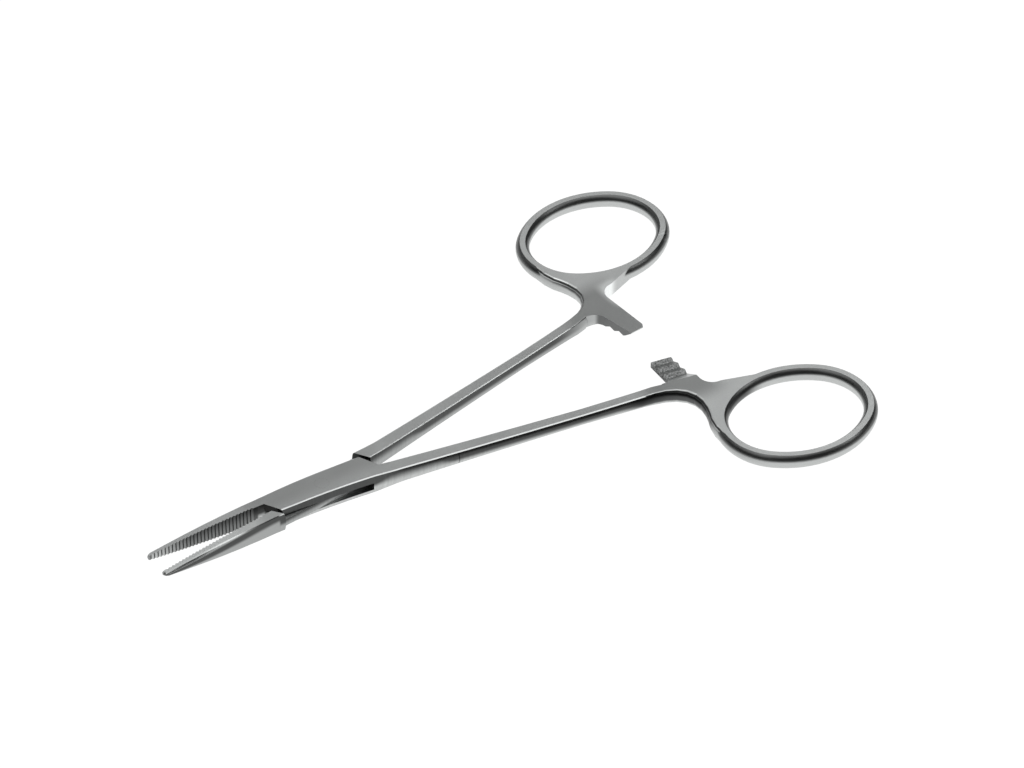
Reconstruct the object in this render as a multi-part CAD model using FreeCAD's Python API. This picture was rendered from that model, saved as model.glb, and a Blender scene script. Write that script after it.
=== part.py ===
import FreeCAD, Part

import math
import os

Vector = FreeCAD.Vector

# Straight haemostatic forceps with a box lock, lying on one side.
# All sizes are millimetres. The origin is on the pivot axis, at the height of
# the flat underside. +X runs from the jaw tips to the finger rings, +Z is up.
# The box half has its ring at -Y and its jaw at +Y, the tongue half the reverse.
# Each half is drawn closed, with the line between the halves on the X axis and
# its ring at -Y, and is then turned about the pivot to the opening it lies at.

# Opening at which the forceps lies, half of it on each side
rest_half_angle = 3.7

# Lengths along the instrument, from the pivot axis
tip_reach = 33.95
jaw_root = 12.0
box_rear = 8.0
shank_start = 14.5
shank_waist = 49.0
shank_end = 61.0

# Heights of the forging, half above and half below its middle plane
box_half_height = 1.9
tip_half_height = 0.45
jaw_rise = 0.115
jaw_rise_ease = 0.0023
shank_root_half_height = 1.55
shank_waist_half_height = 1.1
ring_half_height = 1.45
thinning_length = 23.0

# Jaw: widths of its back and of the flat beside it, at the tip and per length
tip_width = 1.05
tip_flat_width = 0.6
tip_rounding = 0.55
tip_rounding_length = 0.8
jaw_widening = 0.1
jaw_widening_ease = 0.0021
jaw_flat_widening = 0.073

# Box: distances of the edges of its flat faces from the closing line
box_near_edge = 2.35
box_rear_flare = 0.5
box_far_edge = 2.75
box_side_bulge = 0.4

# Shank: distance of its middle line from the closing line, and its flat width
shank_root_offset = 2.15
shank_slope = 0.118
shank_root_width = 2.25
shank_waist_width = 1.6

# How far the rounded sides stand out beyond the flat faces
shank_outer_bulge = 0.6
shank_inner_bulge = 0.25
corner_width = 0.22
corner_depth = 0.13

# Box lock
top_leaf_thickness = 1.45
tongue_thickness = 1.4
tongue_play = 0.05
tongue_near_edge = 2.4
leaf_rear_reach = 10.6
leaf_front_reach = 10.95
leaf_rear_lean = 0.585
leaf_front_lean = 0.65
leaf_edge_gap = 0.42
slot_radius = 9.2
slot_play = 0.1
pin_radius = 1.3
pin_running_clearance = 0.04
pin_seat_clearance = 0.01
halves_gap = 0.15
tongue_root_gap = 0.45
box_root_gap = 0.75

# Jaw faces and their serrations
jaw_face_relief = 0.05
jaw_face_taper = 0.35
serration_pitch = 0.7
serration_depth = 0.24
serration_count = 29
serration_tip_land = 0.35
face_end = 15.0

# Finger rings: an oval bar with ground flats
ring_centre_x = 82.0
ring_centre_offset = 25.7
ring_half_length = 13.95
ring_half_width = 11.4
ring_bar_width = 2.58
ring_flat_width = 1.04

# Neck: how far it goes on behind the shank before and after it turns to the ring
neck_turn_reach = 9.4
neck_turn_drop = 6.5
neck_outer_bulge = 0.6
neck_end_share = 0.75
neck_stations = 12

# Ratchet arms: the sides of an arm follow from the end of the shank, its root,
# its teeth and its ends are measured from the closing line
arm_set_back = 7.0
arm_width = 4.1
arm_near_side = shank_end + arm_set_back
arm_far_side = arm_near_side + arm_width
arm_root = 5.2
arm_overlap = 4.8
arm_root_radius = 2.6
arm_far_root = 9.2
arm_far_radius = 1.9
arm_tip_bevel = 0.5
upper_arm_lean = 0.12
lower_arm_lean = 0.0
upper_arm_reach = 1.3
lower_arm_reach = 0.3
upper_arm_thickness = 2.05
lower_arm_bottom = 1.3
tooth_pitch = 2.2
tooth_depth = 0.6
tooth_slant = 8.0
upper_tooth_taper = 0.2
lower_crest_height = -0.15
lower_tooth_taper = 0.15
lower_ramp_start = 8.1
upper_ramp_start = 8.2
upper_crest_set_back = 0.6
shoulder_start = 2.6

# Room left around a cutter
cutter_room = 1.0


def at(x, y, z=0.0):
    return Vector(x, y, z)


def line(a, b):
    return Part.LineSegment(a, b).toShape()


def arc(a, b, c):
    """Circular edge from a through b to c."""
    return Part.Arc(a, b, c).toShape()


def spine(points, start, end):
    """Smooth curve through a few points with given directions at its ends."""
    spline = Part.BSplineCurve()
    spline.interpolate(Points=points, InitialTangent=start, FinalTangent=end)
    return spline


def prism(edges, low, high):
    """Upright solid between two heights over a closed outline drawn at height zero."""
    face = Part.Face(Part.Wire(edges))
    face.translate(Vector(0, 0, low))
    return face.extrude(Vector(0, 0, high - low))


def outline(points):
    return [line(a, b) for a, b in zip(points, points[1:] + points[:1])]


def block(x0, x1, y0, y1, z0, z1):
    return Part.makeBox(x1 - x0, y1 - y0, z1 - z0, Vector(x0, y0, z0))


def bar_section(x, y, angle, low, high, half, low_bulge, high_bulge, soft=0.0):
    """Section of the forging: ground flat faces, narrow broken corners, rounded sides.

    x and y are a point of its spine, angle the way the spine runs there in degrees,
    low and high the edges of the flat faces to its right and left, half its half height.
    A soft section has wide round shoulders in place of the narrow corners.
    """
    turn = math.radians(angle)

    def place(s, z):
        return Vector(x - math.sin(turn) * s, y + math.cos(turn) * s, z)

    def corner(a, middle, b):
        return arc(a, middle, b) if soft > 0 else line(a, b)

    depth = corner_depth + (0.42 * half - corner_depth) * soft
    shoulder = half - depth
    low_width = min(corner_width, low_bulge / 2)
    high_width = min(corner_width, high_bulge / 2)
    low_width += (0.75 * low_bulge - low_width) * soft
    high_width += (0.75 * high_bulge - high_width) * soft
    low_corner = low - low_width
    high_corner = high + high_width
    low_mid = low - low_width * 0.6
    high_mid = high + high_width * 0.6
    mid_height = half - depth * 0.25
    return Part.Wire([
        line(place(high, half), place(low, half)),
        corner(place(low, half), place(low_mid, mid_height), place(low_corner, shoulder)),
        arc(place(low_corner, shoulder), place(low - low_bulge, 0), place(low_corner, -shoulder)),
        corner(place(low_corner, -shoulder), place(low_mid, -mid_height), place(low, -half)),
        line(place(low, -half), place(high, -half)),
        corner(place(high, -half), place(high_mid, -mid_height), place(high_corner, -shoulder)),
        arc(place(high_corner, -shoulder), place(high + high_bulge, 0), place(high_corner, shoulder)),
        corner(place(high_corner, shoulder), place(high_mid, mid_height), place(high, half)),
    ])


def jaw_half_height(x):
    s = x + tip_reach
    return tip_half_height + jaw_rise * s - jaw_rise_ease * s * s


def half_height(x):
    """Half height of the forging at a place along it, behind the jaw."""
    if x < box_rear:
        return box_half_height
    if x < shank_start:
        share = (x - box_rear) / (shank_start - box_rear)
        eased = share * share * (3 - 2 * share)
        return box_half_height + (shank_root_half_height - box_half_height) * eased
    if x < shank_waist:
        fall = 1 - math.exp(-(x - shank_start) / thinning_length)
        whole = 1 - math.exp(-(shank_waist - shank_start) / thinning_length)
        return shank_root_half_height + (shank_waist_half_height - shank_root_half_height) * fall / whole
    share = min(1.0, (x - shank_waist) / (arm_near_side - shank_waist))
    return shank_waist_half_height + (ring_half_height - shank_waist_half_height) * share ** 1.5


def shank_middle(x):
    return -shank_root_offset - shank_slope * (x - shank_start)


def shank_width(x):
    share = (x - shank_start) / (shank_waist - shank_start)
    return shank_root_width + (shank_waist_width - shank_root_width) * min(1.0, share)


def jaw_back(s):
    return tip_width + jaw_widening * s - jaw_widening_ease * s * s


def jaw_section(x, size=1.0):
    """Section of the jaw, drawn to both sides of the closing line."""
    s = x + tip_reach
    flat = (tip_flat_width + jaw_flat_widening * s) * size
    bulge = jaw_back(s) * size - flat
    return bar_section(x, 0, 0, -flat, flat, jaw_half_height(x) * size, bulge, bulge)


def shank_section(x):
    half_width = shank_width(x) / 2
    return bar_section(x, shank_middle(x), 0, -half_width, half_width, half_height(x),
                       shank_outer_bulge, shank_inner_bulge)


def loft(wires):
    return Part.makeLoft(wires, True, False)


def straight_loft(wires):
    return Part.makeLoft(wires, True, True)


def jaw(front):
    """The jaw from its rounded tip to the front of the box."""
    rounding = tip_rounding_length
    length = tip_reach - face_end
    sections = [
        jaw_section(-tip_reach, tip_rounding),
        jaw_section(-tip_reach + rounding * 0.35, tip_rounding + (1 - tip_rounding) * 0.7),
        jaw_section(-tip_reach + rounding),
    ]
    for share in (0.2, 0.4, 0.6, 0.8, 1):
        sections.append(jaw_section(-tip_reach + length * share))
    return straight_loft(sections + [front])


def root_section(x, inner, inner_bulge):
    """Section between the box and the shank, out to a given inner edge."""
    share = (x - box_rear) / (shank_start - box_rear)
    near = box_near_edge + box_rear_flare
    outer = near + (shank_root_offset + shank_root_width / 2 - near) * share
    bulge = box_side_bulge + (shank_outer_bulge - box_side_bulge) * share
    return bar_section(x, 0, 0, -outer, inner, half_height(x), bulge, inner_bulge)


def limb():
    """Jaw, box and shank of one half, before its lock is cut."""
    bulge = box_side_bulge
    full = box_half_height
    near = box_near_edge
    far = box_far_edge
    flare = box_rear_flare
    front = bar_section(-jaw_root, 0, 0, -near, far * 0.77, full * 0.985, bulge, bulge * 0.6)
    body = loft([
        front,
        bar_section(-jaw_root / 2, 0, 0, -near, far * 0.92, full, bulge, bulge),
        bar_section(0, 0, 0, -near - flare * 0.1, far, full, bulge, bulge),
        bar_section(box_rear / 2, 0, 0, -near - flare * 0.45, far, full, bulge, bulge),
        root_section(box_rear, far, bulge),
    ])
    length = shank_start - box_rear
    root = [root_section(box_rear + length * share, far, bulge) for share in (0, 0.2)]
    for share in (0.45, 0.63, 0.82):
        x = box_rear + length * share
        root.append(root_section(x, shank_middle(x) + shank_root_width / 2, shank_inner_bulge))
    root = straight_loft(root + [shank_section(shank_start)])
    length = shank_end - shank_start
    shank = straight_loft([shank_section(shank_start + length * k / 8) for k in range(9)])
    return jaw(front).fuse([body, root, shank])


def neck_spine():
    """Middle line of the neck, from the end of the shank into the pivot side of the ring."""
    x = shank_end
    y = shank_middle(shank_end)
    reach = neck_turn_reach
    drop = neck_turn_drop
    ring_x = ring_centre_x - ring_half_length
    rest = ring_centre_offset + y - drop
    return spine([
        at(x, y),
        at(x + reach * 0.47, y - drop * 0.12),
        at(x + reach * 0.84, y - drop * 0.45),
        at(x + reach, y - drop),
        at(x + reach - 0.4 * (x + reach - ring_x), y - drop - rest * 0.4),
        at(ring_x, -ring_centre_offset),
    ], Vector(1, -shank_slope, 0), Vector(0, -1, 0))


def neck_section(line_of_neck, share):
    """Section of the neck a given share of the way along it."""
    first = line_of_neck.FirstParameter
    where = first + (line_of_neck.LastParameter - first) * share
    point = line_of_neck.value(where)
    way = line_of_neck.tangent(where)[0]
    turn = math.degrees(math.atan2(way.y, way.x))
    ring_side = (ring_bar_width / 2 - ring_flat_width / 2) * neck_end_share
    swell = math.sin(math.pi * share)
    width = shank_waist_width + (ring_flat_width * neck_end_share - shank_waist_width) * share ** 3
    outer = shank_outer_bulge + (ring_side - shank_outer_bulge) * share
    outer += neck_outer_bulge * swell * swell / 2
    inner = shank_inner_bulge + (ring_side - shank_inner_bulge) * share
    rise = min(1.0, share / 0.25)
    start = half_height(shank_end)
    half = start + (ring_half_height - start) * rise * (2 - rise)
    soft = math.sin(math.pi / 2 * min(1.0, share * 1.5))
    return bar_section(point.x, point.y, turn, -width / 2, width / 2, half, outer, inner, soft)


def neck():
    """The shank turning down into the ring, as one curved bar."""
    line_of_neck = neck_spine()
    last = neck_stations - 1
    sections = [neck_section(line_of_neck, k / last) for k in range(1, neck_stations)]
    return straight_loft([shank_section(shank_end)] + sections)


def ring_radii():
    """Radii of the end arcs and side arcs that make up the oval of the finger ring."""
    a = ring_half_length
    b = ring_half_width
    diagonal = math.hypot(a, b)
    end = (a * a + b * b - (a - b) * diagonal) / (2 * a)
    side = (a * a + b * b + (a - b) * diagonal) / (2 * b)
    return end, side


def ring_section(x, y, angle):
    """Section of the ring: rounded sides between narrow flats above and below."""
    turn = math.radians(angle)
    flat = ring_flat_width / 2
    wide = ring_bar_width / 2
    tall = ring_half_height

    def place(s, z):
        return Vector(x + math.cos(turn) * s, y + math.sin(turn) * s, z)

    return Part.Face(Part.Wire([
        line(place(-flat, tall), place(flat, tall)),
        arc(place(flat, tall), place(wide, 0), place(flat, -tall)),
        line(place(flat, -tall), place(-flat, -tall)),
        arc(place(-flat, -tall), place(-wide, 0), place(-flat, tall)),
    ]))


def ring():
    """Finger ring: a bar bent to an oval of four arcs."""
    end, side = ring_radii()
    ahead = ring_half_length - end
    aside = side - ring_half_width
    turn = math.degrees(math.atan2(aside, ahead))
    pieces = []
    for x, y, radius, first, last in ((ahead, 0, end, -turn, turn),
                                      (0, -aside, side, turn, 180 - turn),
                                      (-ahead, 0, end, 180 - turn, 180 + turn),
                                      (0, aside, side, 180 + turn, 360 - turn)):
        x = x + ring_centre_x
        y = y - ring_centre_offset
        start = math.radians(first)
        section = ring_section(x + radius * math.cos(start), y + radius * math.sin(start), first)
        pieces.append(section.revolve(at(x, y), Vector(0, 0, 1), last - first))
    return pieces[0].fuse(pieces[1:])


def oval_outline(inset):
    """The oval of the ring's middle line, or one inside it, as four arcs."""
    end, side = ring_radii()
    ahead = ring_half_length - end
    aside = side - ring_half_width
    turn = math.atan2(aside, ahead)

    def on(x, y, radius, angle):
        reach = radius - inset
        x = x + ring_centre_x + reach * math.cos(angle)
        y = y - ring_centre_offset + reach * math.sin(angle)
        return at(x, y)

    edges = []
    for x, y, radius, first, last in ((ahead, 0, end, -turn, turn),
                                      (0, -aside, side, turn, math.pi - turn),
                                      (-ahead, 0, end, math.pi - turn, math.pi + turn),
                                      (0, aside, side, math.pi + turn, 2 * math.pi - turn)):
        middle = (first + last) / 2
        edges.append(arc(on(x, y, radius, first), on(x, y, radius, middle), on(x, y, radius, last)))
    return edges


def web():
    """Fills the corner between neck, ring and ratchet arm, with hollow corners."""
    line_of_neck = neck_spine()
    first = line_of_neck.FirstParameter
    span = line_of_neck.LastParameter - first
    along = [line_of_neck.value(first + span * share) for share in (0.8, 0.65, 0.5, 0.38, 0.28, 0.2)]
    near = arm_near_side
    far = arm_far_side
    root = arm_root
    radius = arm_root_radius
    hollow = arm_far_radius
    top = -ring_centre_offset + ring_half_width
    ring_top = at(ring_centre_x, top + ring_flat_width * 0.3)
    below = at(far + 1.5 * hollow, ring_top.y + hollow * 1.05)
    corner = at(near - radius, shank_middle(near - radius) + shank_waist_width * 0.46)
    edges = [
        line(along[-1], corner),
        arc(corner, at(near - radius * 0.3, -root - radius * 0.55), at(near, -root)),
        line(at(near, -root), at(far, -root)),
        line(at(far, -root), at(far, -arm_far_root)),
        arc(at(far, -arm_far_root), at(far + hollow * 0.45, -arm_far_root - hollow * 1.1), below),
        line(below, ring_top),
        line(ring_top, at(ring_centre_x, top - ring_flat_width)),
        line(at(ring_centre_x, top - ring_flat_width), along[0]),
    ]
    edges += [line(a, b) for a, b in zip(along, along[1:])]
    solid = prism(edges, -ring_half_height, ring_half_height)
    tall = ring_half_height + cutter_room
    return solid.cut(prism(oval_outline(0.0), -tall, tall))


def arm(reach, lean, low, high):
    """Ratchet arm before its teeth are cut."""
    root = arm_root + arm_overlap
    edges = outline([
        at(arm_near_side, -root),
        at(arm_far_side, -root),
        at(arm_far_side, reach - 1.5 * arm_tip_bevel),
        at(arm_far_side - arm_tip_bevel, reach),
        at(arm_near_side + lean * (reach + arm_root), reach),
        at(arm_near_side, -arm_root),
    ])
    return prism(edges, low, high)


def across_arm(points, turn):
    """Prism right across the arm over an outline of distances and heights."""
    low = arm_near_side - shoulder_start
    face = Part.Face(Part.makePolygon([Vector(low, y, z) for y, z in points + points[:1]]))
    solid = face.extrude(Vector(arm_far_side + shoulder_start - low, 0, 0))
    middle = (arm_near_side + arm_far_side) / 2
    solid.rotate(Vector(middle, -arm_root, 0), Vector(0, 0, 1), turn)
    return solid


def lower_arm_cut():
    """What the cutter takes off above the lower arm: a ramp and three teeth facing up."""
    top = ring_half_height + cutter_room
    end = lower_arm_reach + cutter_room
    points = [(end, top), (-lower_ramp_start, top), (-lower_ramp_start, ring_half_height)]
    for k in (2, 1, 0):
        crest = -k * tooth_pitch
        height = lower_crest_height + k * lower_tooth_taper
        points.append((crest - 0.3 * tooth_pitch, height - tooth_depth))
        points.append((crest, height))
    last = lower_crest_height - 0.7 * tooth_depth
    points.append((lower_arm_reach, last))
    points.append((end, last))
    return across_arm(points, -tooth_slant)


def upper_arm_cut():
    """What the cutter takes off below the upper arm: three teeth facing down and a lead-in."""
    bottom = -ring_half_height - cutter_room
    face = ring_half_height - upper_arm_thickness
    end = upper_arm_reach + cutter_room
    ramp = (ring_half_height - upper_arm_thickness + ring_half_height) * 1.2
    points = [(end, bottom), (-upper_ramp_start, bottom), (-upper_ramp_start, -ring_half_height)]
    points.append((-upper_ramp_start + ramp + 1.2 * tooth_depth, face))
    for k in (2, 1, 0):
        crest = -upper_crest_set_back - k * tooth_pitch
        height = face + (2 - k) * upper_tooth_taper
        points.append((crest, height))
        points.append((crest + tooth_pitch / 2, height + tooth_depth))
    points[-1] = (0.0, face + 2 * upper_tooth_taper + 0.6 * tooth_depth)
    last = ring_half_height - 0.1 * cutter_room
    points.append((upper_arm_reach + 0.1 * cutter_room, last))
    points.append((end, last))
    return across_arm(points, 0)


def face_line(x):
    """Distance of the gripping face from the closing line: the jaws meet at the tips first."""
    share = min(1.0, (x + tip_reach) / (tip_reach - face_end))
    return jaw_face_relief + jaw_face_taper * share


def lock_zone(extra, side):
    """Room between the two slanted edges of the lock, with the sides at +Y or -Y reversed."""
    tall = box_half_height + cutter_room
    y = 2 * box_far_edge
    rear = leaf_rear_reach + extra
    front = leaf_front_reach + extra
    return prism(outline([
        at(rear - leaf_rear_lean * y * side, y),
        at(-front - leaf_front_lean * y * side, y),
        at(-front + leaf_front_lean * y * side, -y),
        at(rear + leaf_rear_lean * y * side, -y),
    ]), -tall, tall)


def other_jaw_room():
    """Room of the other half's jaw, on the other side of the gripping face."""
    tall = box_half_height + cutter_room
    beyond = -tip_reach - cutter_room
    y = 2 * box_far_edge
    return prism(outline([
        at(beyond, face_line(-tip_reach)),
        at(beyond, -y),
        at(0, -y),
        at(0, face_line(-face_end)),
        at(-face_end, face_line(-face_end)),
        at(-tip_reach, face_line(-tip_reach)),
    ]), -tall, tall)


def other_shank_room(root_gap):
    """Room of the other half's shank, behind the lock."""
    tall = box_half_height + cutter_room
    y = 2 * box_far_edge
    beyond = shank_start * 1.001
    return prism(outline([
        at(0, -halves_gap),
        at(leaf_rear_reach * 0.75, -halves_gap),
        at(beyond, -root_gap),
        at(beyond, y),
        at(0, y),
    ]), -tall, tall)


def lock_block(near, low, high):
    """Everything about the lock beyond a distance to one side and between two heights."""
    reach = 1.5 * leaf_front_reach
    return block(-reach, reach, near, 3 * box_far_edge, low, high)


def round_bar(radius):
    tall = box_half_height + cutter_room
    return Part.makeCylinder(radius, 2 * tall, at(0, 0, -tall))


def serrations(shift):
    """Comb that cuts the grooves across the gripping face."""
    first = -tip_reach + serration_tip_land + shift
    points = []
    for k in range(serration_count):
        x = first + k * serration_pitch
        middle = x + serration_pitch / 2
        points.append(at(x, face_line(x)))
        points.append(at(middle, face_line(middle) + serration_depth))
    last = first + serration_count * serration_pitch
    points.append(at(last, face_line(last)))
    points.append(at(last, -cutter_room))
    points.append(at(first, -cutter_room))
    return prism(outline(points), -box_half_height, box_half_height)


def box_half(body):
    """Half with the slotted box: a leaf above and a leaf below the other half's tongue."""
    ceiling = box_half_height - top_leaf_thickness
    floor = ceiling - tongue_thickness - 2 * tongue_play
    rooms = other_jaw_room().fuse(other_shank_room(box_root_gap))
    slot = rooms.fuse(round_bar(slot_radius)).common(lock_block(-3 * box_far_edge, floor, ceiling))
    beyond = rooms.cut(lock_zone(0, 1))
    teeth = arm(lower_arm_reach, lower_arm_lean, -lower_arm_bottom, ring_half_height).cut(lower_arm_cut())
    body = body.cut(lower_arm_cut()).fuse(teeth)
    body = body.cut(slot).cut(beyond)
    return body.cut(serrations(0)).cut(round_bar(pin_radius + pin_seat_clearance))


def tongue_half(body):
    """Half with the tongue that passes through the box."""
    top = box_half_height - top_leaf_thickness - tongue_play
    bottom = top - tongue_thickness
    tall = box_half_height + cutter_room
    everywhere = -3 * box_far_edge
    rooms = other_jaw_room().fuse(other_shank_room(tongue_root_gap)).cut(round_bar(slot_radius - slot_play))
    above = lock_block(everywhere, top, tall)
    below = lock_block(everywhere, -tall, bottom)
    side = lock_block(tongue_near_edge, -tall, tall)
    trimmed = above.fuse([below, side]).common(lock_zone(leaf_edge_gap, -1))
    low = ring_half_height - upper_arm_thickness - tongue_play
    teeth = arm(upper_arm_reach, upper_arm_lean, low, ring_half_height).cut(upper_arm_cut())
    body = body.cut(upper_arm_cut()).fuse(teeth)
    shift = serration_pitch / 2
    body = body.cut(rooms).cut(trimmed)
    return body.cut(serrations(shift)).cut(round_bar(pin_radius + pin_running_clearance))


def pivot_pin():
    return Part.makeCylinder(pin_radius, 2 * box_half_height, at(0, 0, -box_half_height))


def placed(shape, angle):
    """Turns a part about the pivot to the opening it lies at and sets it on its underside."""
    shape = shape.copy()
    shape.rotate(at(0, 0), Vector(0, 0, 1), angle)
    shape.translate(at(0, 0, box_half_height))
    return shape


def main():
    os.makedirs("parts", exist_ok=True)
    body = limb().fuse([neck(), ring(), web()])
    first = placed(box_half(body), -rest_half_angle)
    second = tongue_half(body).mirror(at(0, 0), Vector(0, 1, 0))
    second = placed(second, rest_half_angle)
    pin = placed(pivot_pin(), -rest_half_angle)
    for name, shape in (("box_half", first), ("tongue_half", second), ("pivot_pin", pin)):
        if not shape.isValid() or len(shape.Solids) != 1:
            raise ValueError(name + " is not one valid solid: " + str(len(shape.Solids)))
        print(name, round(shape.Volume, 2), "mm3", len(shape.Faces), "faces")
        shape.exportStep("parts/" + name + ".step")


if __name__ == "__main__":
    main()
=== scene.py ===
"""Straight haemostatic forceps with a box lock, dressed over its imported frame."""

import math

import bmesh
import bpy
from mathutils import Matrix, Vector

bl_info = {
    "name": "Haemostatic forceps",
    "version": (1, 0, 0),
    "blender": (4, 5, 0),
    "location": "View3D > Sidebar > Forceps",
    "description": "Finishes haemostatic forceps in satin ground steel and lights them",
    "category": "Object",
}

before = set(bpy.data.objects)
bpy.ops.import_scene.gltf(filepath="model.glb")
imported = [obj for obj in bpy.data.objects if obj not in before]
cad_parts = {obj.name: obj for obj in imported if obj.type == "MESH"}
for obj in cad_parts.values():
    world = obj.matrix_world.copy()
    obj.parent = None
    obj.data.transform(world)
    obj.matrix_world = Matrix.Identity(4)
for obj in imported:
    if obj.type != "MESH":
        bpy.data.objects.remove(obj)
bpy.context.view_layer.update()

WHITE = (1.0, 1.0, 1.0, 1.0)
BLACK = (0.0, 0.0, 0.0, 1.0)
MM_PER_METRE = 1000.0
QUARTER_TURN = math.pi / 2

# The forceps at rest, in millimetres: X runs from the jaw tips back to the rings, with the
# pivot at 0, Y across them and Z up.
TIP_X = -33.95
MIDDLE_Z = 1.9
SHANK_TURN = math.radians(10.4)

# Stretches over which one finish, with its painted shade and highlight, passes into the next, as
# start and end.
TIP_TO_JAW_X = (-33.0, -25.0)
JAW_TO_BOX_X = (-16.0, -12.0)
SERRATIONS_END_X = (-12.6, -12.2)
JAW_END_X = (-10.9, -10.4)
SHANK_TO_RING_X = (56.0, 70.0)
ROUNDED_EDGE_END_X = (62.0, 64.0)
BOX_EDGE_Y = (-3.0, 1.0)
SERRATIONS_Z = (0.5, 3.5)
RATCHET_TOP_Z = (3.1, 3.3)
NECK_FOOT_Z = (0.9, 1.5)

# Bands and patches of the finish and of its painted shade and highlight, each as its middle,
# its reach and the width of its fade, along X and then along Y.
SHANK_START_X = (16.0, 4.0, 4.0)
STREAKS_X = (10.0, 20.0, 5.0)
BOX_X = (0.0, 12.0, 6.0)
FINE_LINE_X = (24.5, 0.06, 0.08)
PATCHES = {
    # Painted shade in the lock, at the web's end and on the neck, a painted highlight on the
    # shoulder, the web's darker flats, the ratchet teeth and the ring's scratches.
    "lock": ((11.0, 2.6, 0.4), (0.0, 1.6, 0.4)),
    "web": ((67.0, 4.0, 5.0), (10.0, 6.0, 5.0)),
    "web_end_shade": ((68.2, 4.2, 0.6), (6.0, 7.0, 2.0)),
    "ratchet": ((69.9, 3.0, 0.3), (-7.0, 3.4, 0.3)),
    "neck": ((68.0, 8.0, 5.0), (-16.0, 7.0, 4.0)),
    "shoulder": ((73.2, 0.6, 2.4), (14.2, 1.2, 3.4)),
    "scratches": ((91.8, 1.6, 0.6), (22.0, 2.0, 0.6)),
}

# Noise cells per millimetre: along X, Y and Z once turned to the grinding, or one for all.
MARKS = (0.12, 2.2, 2.2)
STREAKS = (3.0, 0.25, 0.12)
SCRATCHES = (0.6, 6.0, 0.5)
CLOUDS = 0.12
GRAIN = 5.0
RATCHET_GRAIN = 3.2
SCRATCHES_TURN = 0.9

# How far up a face looks, from -1 to 1, where it passes from a side into a flat.
FLAT = (0.78, 0.84)
ROUNDED_FLAT = (0.50, 0.62)
BOX_FLAT = (0.9, 0.95)
JAW_FLAT = (0.93, 0.98)
JAW_BACK_FLAT = (0.92, 0.97)

# The tone that no spot of the steel passes, where 1 is the steel's own.
BRIGHTEST = 1.65

# The stage, in metres.
PAPER = (0.85, 0.85, 0.85, 1.0)
PAPER_GLOW = 1.15
SOFT_LIGHT = 0.5
LAMP_TARGET = (0.044, 0.005, 0.002)
GLINT_SHARE = 0.115
DARK_CARDS = (
    ("card_front", 0.05, -0.28, 0.0, 0.9),
    ("card_left", -0.38, 0.05, QUARTER_TURN, 0.7),
    ("card_right", 0.48, 0.05, QUARTER_TURN, 0.7),
)
GREY_CARD_SIZE = (1.0, 0.7)
CAMERA_PLACE = (-0.31449, -0.5089, 0.52247)
CAMERA_TARGET = (0.0438375, 0.0050742, 0.0019)


class Sock:
    """A node output that can be written into sums as a value."""

    def __init__(self, build, socket):
        self.build = build
        self.socket = socket

    def __add__(self, other):
        return self.build.math("ADD", self, other)

    def __radd__(self, other):
        return self.build.math("ADD", other, self)

    def __sub__(self, other):
        return self.build.math("SUBTRACT", self, other)

    def __rsub__(self, other):
        return self.build.math("SUBTRACT", other, self)

    def __mul__(self, other):
        return self.build.math("MULTIPLY", self, other)

    def __rmul__(self, other):
        return self.build.math("MULTIPLY", other, self)

    def __truediv__(self, other):
        return self.build.math("DIVIDE", self, other)

    def __rtruediv__(self, other):
        return self.build.math("DIVIDE", other, self)

    def abs(self):
        return self.build.math("ABSOLUTE", self)

    def least(self, other):
        return self.build.math("MINIMUM", self, other)

    def most(self, other):
        return self.build.math("MAXIMUM", self, other)

    def step(self, low, high):
        """0 below low, 1 above high, smooth in between."""
        return self.build.node(
            "ShaderNodeMapRange",
            {"interpolation_type": "SMOOTHSTEP", "clamp": True},
            {"Value": self, "From Min": low, "From Max": high, "To Min": 0.0, "To Max": 1.0},
        )

    def fall(self, low, high):
        """1 below low, 0 above high, smooth in between."""
        return 1.0 - self.step(low, high)


class Shading:
    """The nodes of a material or of the world, written as sums of Sock values."""

    def __init__(self, data, output="ShaderNodeOutputMaterial"):
        self.data = data
        self.output = output
        data.use_nodes = True
        self.tree = data.node_tree
        self.tree.nodes.clear()

    def node(self, kind, settings=None, values=None, out=0):
        """Adds a node and gives one of its outputs, or a list where out is a tuple."""
        made = self.tree.nodes.new(kind)
        for key, value in (settings or {}).items():
            setattr(made, key, value)
        for key, value in (values or {}).items():
            socket = made.inputs[key]
            if isinstance(value, Sock):
                self.tree.links.new(value.socket, socket)
            else:
                socket.default_value = value
        if isinstance(out, tuple):
            return [Sock(self, made.outputs[key]) for key in out]
        return Sock(self, made.outputs[out])

    def math(self, operation, *terms):
        return self.node("ShaderNodeMath", {"operation": operation}, dict(enumerate(terms)))

    def mix(self, factor, first, second):
        """Colour between two colours, and past the second where the factor is above 1."""
        # A Mix node repeats its sockets' names for each data type, so numbers pick the colours.
        return self.node(
            "ShaderNodeMix", {"data_type": "RGBA", "clamp_factor": False},
            {0: factor, 6: first, 7: second}, out=2,
        )

    def parts(self, vector):
        """The three values of a vector."""
        return self.node("ShaderNodeSeparateXYZ", None, {0: vector}, out=(0, 1, 2))

    def noise(self, vector, scale, detail=2.0, roughness=0.5):
        return self.node(
            "ShaderNodeTexNoise", {"noise_dimensions": "3D"},
            {"Vector": vector, "Scale": scale, "Detail": detail, "Roughness": roughness},
        )

    def stretched(self, vector, turn, scale):
        """The vector turned about Z and scaled along each axis."""
        return self.node(
            "ShaderNodeMapping", {"vector_type": "POINT"},
            {"Vector": vector, "Rotation": (0.0, 0.0, turn), "Scale": scale},
        )

    def finish(self, shader):
        """Leads a shader to the output, and gives the material or the world."""
        self.node(self.output, None, {"Surface": shader}, out=())
        return self.data


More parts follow.
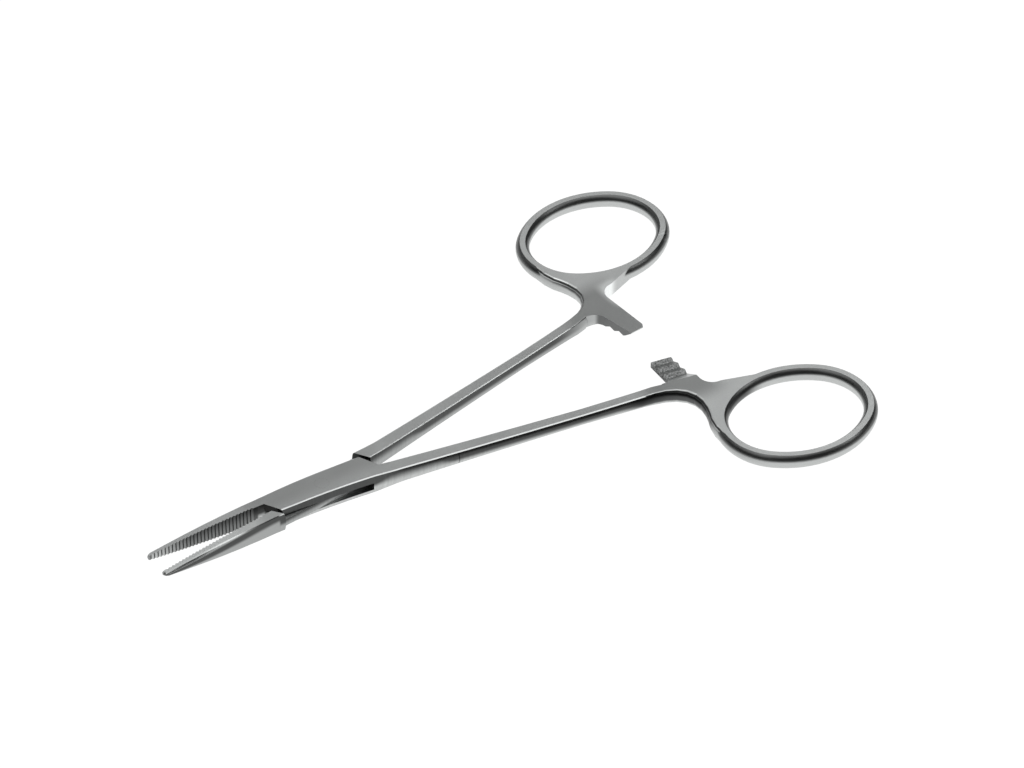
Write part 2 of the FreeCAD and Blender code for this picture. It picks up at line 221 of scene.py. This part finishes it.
class Surface:
    """Where a point lies, in millimetres, and how far it faces along each axis, -1 to 1."""

    def __init__(self, steel):
        metres = steel.node("ShaderNodeTexCoord", out="Object")
        self.place = steel.node(
            "ShaderNodeVectorMath", {"operation": "SCALE"}, {0: metres, "Scale": MM_PER_METRE}
        )
        self.x, self.y, self.z = steel.parts(self.place)
        normal = steel.node("ShaderNodeTexCoord", out="Normal")
        self.lengthwise, self.sideways, self.up = steel.parts(normal)


class SteelFinish(bpy.types.PropertyGroup):
    tone: bpy.props.FloatVectorProperty(
        name="Steel tone", description="Colour of the ground steel", subtype="COLOR", size=3,
        min=0.0, max=1.0, default=(0.575, 0.59, 0.585))
    roughness: bpy.props.FloatProperty(
        name="Roughness", description="Roughness of the satin ground faces", default=0.33,
        min=0.0, max=1.0)
    # Painted shade on the upper part of the rounded sides.
    side_shade: bpy.props.FloatProperty(
        name="Side shade", default=0.86, min=0.0, max=1.0,
        description="How much darker the upper part of the rounded sides is than the flats")
    grain: bpy.props.FloatProperty(
        name="Grinding marks", description="Height of the grinding marks", default=0.000015,
        min=0.0, max=0.001, unit="LENGTH")


class StageLook(bpy.types.PropertyGroup):
    floor_size: bpy.props.FloatProperty(
        name="Floor size", description="Length of each side of the floor", default=1.6,
        unit="LENGTH")
    shadow: bpy.props.FloatProperty(
        name="Shadow", description="Share of the floor's look that shows the object's shadow",
        default=0.15, min=0.0, max=1.0)
    dark: bpy.props.FloatProperty(
        name="Dark card", description="Tone of the cards before and beside the object",
        default=0.12, min=0.0, max=1.0)
    grey: bpy.props.FloatProperty(
        name="Grey card", description="Tone of the card behind the object", default=0.66,
        min=0.0, max=1.0)
    card_height: bpy.props.FloatProperty(
        name="Card height", description="Height of the dark cards", default=0.32, unit="LENGTH")
    lamp_power: bpy.props.FloatProperty(
        name="Lamp power", description="Power of the overhead lamp", default=1.2, unit="POWER")
    lens: bpy.props.FloatProperty(
        name="Lens", description="Focal length of the camera", default=160.1,
        subtype="DISTANCE_CAMERA")


def near(value, place, reach, fade):
    """1 within reach of a place along one axis, 0 beyond it, fading over a width."""
    return (value - place).abs().fall(reach, reach + fade)


def patch(x, y, name):
    """1 within a patch of the plan, 0 beyond it."""
    along_x, along_y = PATCHES[name]
    return near(x, *along_x) * near(y, *along_y)


def blend(first, second, share):
    """The first value where the share is 0, the second where it is 1."""
    return first * (1.0 - share) + second * share


def dimmed(tone, mask, share):
    """The tone, darker by a share where the mask is 1."""
    return tone * (1.0 - mask * share)


def painted_shade_of_sides_and_flats(at, flat, side_shade, foot_shade):
    """Painted shade: sides darker than the flats, most above their middle; on the rings, sides
    darker where they look up; ring flats lighter and web flats darker.
    """
    rings = at.x.step(*SHANK_TO_RING_X)
    web = patch(at.x, at.y.abs(), "web")
    upper = at.z.step(1.2, near(at.x, *SHANK_START_X) * 0.9 + 2.2)
    shade = blend(blend(foot_shade, side_shade, upper), at.up.step(0.1, 0.4) * 0.7 + 0.08, rings)
    tone = 1.0 - (1.0 - flat) * shade
    return tone * (1.0 + flat * (rings * (1.0 - web) * 0.3 - web * 0.26))


def jaw_back_painted_bands(at, tone, jawward):
    """Painted highlight and shade on the jaw's rounded back: light along its upper slope, dark
    below, light at the foot.
    """
    length = at.x - TIP_X
    # Half the jaw's height grows from its tip ever more slowly, and its ridge climbs a little.
    half_height = length * 0.115 - length * length * 0.0023 + 0.45
    slope = (at.z - MIDDLE_Z) / half_height - length * 0.042
    back = jawward * at.x.fall(*JAW_END_X) * at.up.fall(*JAW_BACK_FLAT)
    painted_bands = slope.step(0.05, 0.4) * (1.0 - slope.step(0.4, 0.7) * 0.5) * 0.85 + 0.15
    painted_bands = painted_bands + slope.fall(-0.8, -0.35) * 0.5
    return blend(tone, painted_bands, back)


def serrations_painted_shade(at, tone, jawward, level):
    """Painted shade across the gripping face: dark, lighter towards the tip and on the flank of
    each tooth that looks to the tip, darker higher up and on the flank that looks to the rings.
    """
    gripping = at.x.fall(*SERRATIONS_END_X) * (1.0 - jawward) * level
    groove_shade = 0.2 - at.z.step(*SERRATIONS_Z) * 0.12 + at.x.fall(*TIP_TO_JAW_X) * 0.3
    groove_shade = dimmed(groove_shade, at.lengthwise.step(0.0, 0.4), 0.75)
    groove_shade = groove_shade * (1.0 + at.lengthwise.fall(-0.4, 0.0) * 0.9)
    return blend(tone, groove_shade, gripping)


def ground_steel(name, turn, jaw_side=0.0, foot_shade=0.1, details=None):
    """Satin steel, with painted shade: light flats, and sides painted dark above and lighter
    below.

    turn is the way the grinding runs. jaw_side is +1 or -1 where a half has its jaw at +Y or
    -Y, and foot_shade how much darker than the flats the painted shade makes the sides below
    their middle.
    details may change tone, roughness and height.
    """
    look = bpy.context.scene.steel_finish
    steel = Shading(bpy.data.materials.new(name))
    at = Surface(steel)
    marks = steel.noise(steel.stretched(at.place, turn, MARKS), 1.0, 3.0, 0.6)
    clouds = steel.noise(at.place, CLOUDS)
    grain = steel.noise(at.place, GRAIN, 1.0)
    streaks = steel.noise(steel.stretched(at.place, turn, STREAKS), 1.0, 2.0, 0.6)

    # Faces that look to the half's own jaw's side: its jaw's back and its shank's inner side.
    jawward = (at.sideways * jaw_side).step(0.0, 0.1)
    level = near(at.up, 0.0, 0.3, 0.2)
    ends = level * at.lengthwise.abs().step(0.5, 0.8)
    rounded = jawward * at.x.fall(*ROUNDED_EDGE_END_X)
    flat = blend(at.up.step(*FLAT), at.up.step(*ROUNDED_FLAT), rounded)

    # Painted shade on the sides, darkest above their middle.
    tone = painted_shade_of_sides_and_flats(at, flat, look.side_shade, foot_shade)
    tone = tone * (1.0 + (clouds - 0.5) * 0.16 + (grain - 0.5) * 0.14)
    tone = tone * (1.0 + (streaks - 0.5) * (1.0 - flat) * near(at.x, *STREAKS_X) * 0.4)
    # Painted shade on the lock's upright end faces, where its crevices are.
    tone = dimmed(tone, patch(at.x.abs(), at.y, "lock") * ends, 0.75)
    # Painted shade on the upright end faces of the web.
    tone = dimmed(tone, patch(at.x, at.y.abs(), "web_end_shade") * ends, 0.7)
    # Painted highlight and shade in bands along the jaw's back.
    tone = jaw_back_painted_bands(at, tone, jawward)
    # Painted shade on the gripping face.
    tone = serrations_painted_shade(at, tone, jawward, level)
    roughness = (marks - 0.5) * 0.10 + (clouds - 0.5) * 0.08 + look.roughness
    height = marks
    if details:
        tone, roughness, height = details(steel, at, tone, roughness, height)

    bump = steel.node(
        "ShaderNodeBump", None,
        {"Strength": 0.3, "Distance": look.grain, "Height": height},
    )
    shader = steel.node(
        "ShaderNodeBsdfPrincipled", None,
        {"Base Color": steel.mix(tone.least(BRIGHTEST), BLACK, (*look.tone, 1.0)),
         "Metallic": 1.0, "Roughness": roughness, "Normal": bump},
    )
    return steel.finish(shader)


def box_half_details(steel, at, tone, roughness, height):
    """Darker box flats, painted shade on the neck, coarse-grained ratchet teeth with painted
    light and shade, and a fine dark line on the shank.
    """
    box = near(at.x, *BOX_X) * at.y.step(*BOX_EDGE_Y) * at.up.step(*BOX_FLAT)
    neck = patch(at.x, at.y, "neck") * at.z.step(*NECK_FOOT_Z) * at.up.fall(0.4, 0.7)
    line = near(at.x, *FINE_LINE_X) * at.up.fall(0.4, 0.6)
    teeth = patch(at.x, at.y, "ratchet") * at.z.fall(*RATCHET_TOP_Z)
    coarse = steel.noise(at.place, RATCHET_GRAIN, 3.0, 0.7)
    teeth_grain_and_light = at.up.step(-0.2, 0.5) * 0.35 + 0.12 + (coarse - 0.5) * 2.0
    # Painted shade on the neck's side above its foot; the box's flats a little darker; a fine
    # dark line on the shank.
    tone = dimmed(dimmed(dimmed(tone, line, 0.6), box, 0.2), neck, 0.8)
    # Ratchet teeth: a coarse grain, with painted light on faces that look up and painted shade
    # on faces that look down.
    return blend(tone, teeth_grain_and_light, teeth), roughness + teeth * 0.1, height + teeth * coarse * 1.5


def tongue_half_details(steel, at, tone, roughness, height):
    """Painted highlight on the jaw's top and on the neck's shoulder, and a few scratches worn
    into the ring.
    """
    jaw = at.x.fall(*JAW_TO_BOX_X) * at.up.step(*JAW_FLAT)
    shoulder = patch(at.x, at.y, "shoulder")
    fine = steel.noise(steel.stretched(at.place, SCRATCHES_TURN, SCRATCHES), 1.0, 1.0)
    worn = patch(at.x, at.y, "scratches") * fine.step(0.54, 0.6) * at.up.step(0.2, 0.5)
    # Painted highlight on the jaw's top flat and on the neck's shoulder; the scratches are wear.
    tone = tone * (1.0 + jaw * 0.28 + worn * 0.7 + shoulder * 1.5)
    return tone, roughness + worn * 0.1, height


def dress(node, material):
    """Puts a material on a node of the frame."""
    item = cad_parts[node]
    if not item.material_slots:
        item.data.materials.append(material)
    for slot in item.material_slots:
        slot.link = "OBJECT"
        slot.material = material


class FORCEPS_OT_box_half(bpy.types.Operator):
    """Finishes the half with the slotted box"""

    bl_idname = "forceps.box_half"
    bl_label = "Box half"

    def execute(self, context):
        dress("box_half", ground_steel(
            "box_half_steel", SHANK_TURN, jaw_side=1.0, details=box_half_details))
        return {"FINISHED"}


class FORCEPS_OT_tongue_half(bpy.types.Operator):
    """Finishes the half with the tongue"""

    bl_idname = "forceps.tongue_half"
    bl_label = "Tongue half"

    def execute(self, context):
        # More painted shade on this half's sides below their middle.
        dress("tongue_half", ground_steel(
            "tongue_half_steel", -SHANK_TURN, jaw_side=-1.0, foot_shade=0.35,
            details=tongue_half_details))
        return {"FINISHED"}


class FORCEPS_OT_pivot_pin(bpy.types.Operator):
    """Finishes the flush pivot rivet as the box around it"""

    bl_idname = "forceps.pivot_pin"
    bl_label = "Pivot pin"

    def execute(self, context):
        dress("pivot_pin", ground_steel("pivot_pin_steel", SHANK_TURN, details=box_half_details))
        return {"FINISHED"}


def aim(item, place, target):
    """Puts a lamp or the camera in the scene at a place, looking at a target."""
    bpy.context.scene.collection.objects.link(item)
    item.location = place
    item.rotation_euler = (Vector(target) - Vector(place)).to_track_quat("-Z", "Y").to_euler()


def area_lamp(name, place, size, power):
    light = bpy.data.lights.new(name, "AREA")
    light.shape = "RECTANGLE"
    light.size, light.size_y = size
    light.energy = power
    aim(bpy.data.objects.new(name, light), place, LAMP_TARGET)


def seen_directly(build):
    """1 for rays from the camera, and for those by way of a gloss or glass, else 0."""
    camera, glossy, through = build.node(
        "ShaderNodeLightPath", out=("Is Camera Ray", "Is Glossy Ray", "Is Transmission Ray")
    )
    return camera.most(glossy).most(through)


def build_world():
    """White where it is seen, and a plain soft light elsewhere."""
    world = Shading(bpy.data.worlds.new("studio"), "ShaderNodeOutputWorld")
    strength = seen_directly(world) * (1.0 - SOFT_LIGHT) + SOFT_LIGHT
    light = world.node("ShaderNodeBackground", None, {"Color": WHITE, "Strength": strength})
    bpy.context.scene.world = world.finish(light)


def floor_material(shadow):
    """Pale floor that is white where it is seen, and keeps a share of the object's shadow."""
    paper = Shading(bpy.data.materials.new("floor_paper"))
    diffuse = paper.node("ShaderNodeBsdfDiffuse", None, {"Color": PAPER})
    glow = paper.node("ShaderNodeEmission", None, {"Color": WHITE, "Strength": PAPER_GLOW})
    share = seen_directly(paper) * (1.0 - shadow)
    return paper.finish(paper.node("ShaderNodeMixShader", None, {0: share, 1: diffuse, 2: glow}))


def plain_material(name, tone):
    plain = Shading(bpy.data.materials.new(name))
    return plain.finish(
        plain.node("ShaderNodeBsdfDiffuse", None, {"Color": (tone, tone, tone, 1.0)})
    )


def flat_sheet(name, width, height, turn, place, material):
    """A flat sheet of the stage, made flat on the ground, then turned and put in its place."""
    mesh = bpy.data.meshes.new(name)
    made = bmesh.new()
    bmesh.ops.create_grid(made, x_segments=1, y_segments=1, size=0.5)
    bmesh.ops.scale(made, vec=(width, height, 1.0), verts=made.verts)
    bmesh.ops.transform(made, matrix=Matrix.Translation(place) @ turn.to_4x4(), verts=made.verts)
    made.to_mesh(mesh)
    made.free()
    mesh.materials.append(material)
    sheet = bpy.data.objects.new(name, mesh)
    bpy.context.scene.collection.objects.link(sheet)
    return sheet


def card(name, place, turn, width, height, material):
    """An upright card that only reflections show, facing the object."""
    upright = Matrix.Rotation(turn, 3, "Z") @ Matrix.Rotation(QUARTER_TURN, 3, "X")
    sheet = flat_sheet(name, width, height, upright, place, material)
    for rays in ("camera", "diffuse", "shadow", "transmission"):
        setattr(sheet, "visible_" + rays, False)


class FORCEPS_OT_stage(bpy.types.Operator):
    """Adds the pale floor, the cards, the soft lamps and the camera"""

    bl_idname = "forceps.stage"
    bl_label = "Stage"

    def execute(self, context):
        scene = context.scene
        look = scene.stage_look
        scene.view_settings.view_transform = "Standard"
        flat = Matrix.Identity(3)
        paper = floor_material(look.shadow)
        flat_sheet("floor", look.floor_size, look.floor_size, flat, (0, 0, 0), paper)
        dark = plain_material("dark_card", look.dark)
        grey = plain_material("grey_card", look.grey)
        for name, x, y, turn, width in DARK_CARDS:
            card(name, (x, y, look.card_height / 2), turn, width, look.card_height, dark)
        width, height = GREY_CARD_SIZE
        card("card_back", (0.05, 0.40, height / 2), 0.0, width, height, grey)
        build_world()
        area_lamp("overhead", (0.0, -0.1, 0.75), (0.9, 0.7), look.lamp_power)
        area_lamp("glint", (0.35, -0.26, 0.24), (0.16, 0.1), look.lamp_power * GLINT_SHARE)
        camera_data = bpy.data.cameras.new("camera")
        camera_data.lens = look.lens
        camera_data.sensor_width = 36.0
        camera_data.clip_end = 10.0
        scene.camera = bpy.data.objects.new("camera", camera_data)
        aim(scene.camera, CAMERA_PLACE, CAMERA_TARGET)
        return {"FINISHED"}


OPERATORS = (
    FORCEPS_OT_box_half,
    FORCEPS_OT_tongue_half,
    FORCEPS_OT_pivot_pin,
    FORCEPS_OT_stage,
)


class FORCEPS_PT_panel(bpy.types.Panel):
    """Lists the steps that finish the forceps"""

    bl_idname = "FORCEPS_PT_panel"
    bl_label = "Haemostatic forceps"
    bl_space_type = "VIEW_3D"
    bl_region_type = "UI"
    bl_category = "Forceps"

    def draw(self, context):
        column = self.layout.column()
        for group in (context.scene.steel_finish, context.scene.stage_look):
            for name in type(group).__annotations__:
                column.prop(group, name)
        for operator in OPERATORS:
            column.operator(operator.bl_idname)


CLASSES = (SteelFinish, StageLook) + OPERATORS + (FORCEPS_PT_panel,)


def register():
    for item in CLASSES:
        bpy.utils.register_class(item)
    bpy.types.Scene.steel_finish = bpy.props.PointerProperty(type=SteelFinish)
    bpy.types.Scene.stage_look = bpy.props.PointerProperty(type=StageLook)


def unregister():
    del bpy.types.Scene.stage_look
    del bpy.types.Scene.steel_finish
    for item in reversed(CLASSES):
        bpy.utils.unregister_class(item)


def main():
    register()
    bpy.ops.forceps.box_half()
    bpy.ops.forceps.tongue_half()
    bpy.ops.forceps.pivot_pin()
    bpy.ops.forceps.stage()


if __name__ == "__main__":
    main()
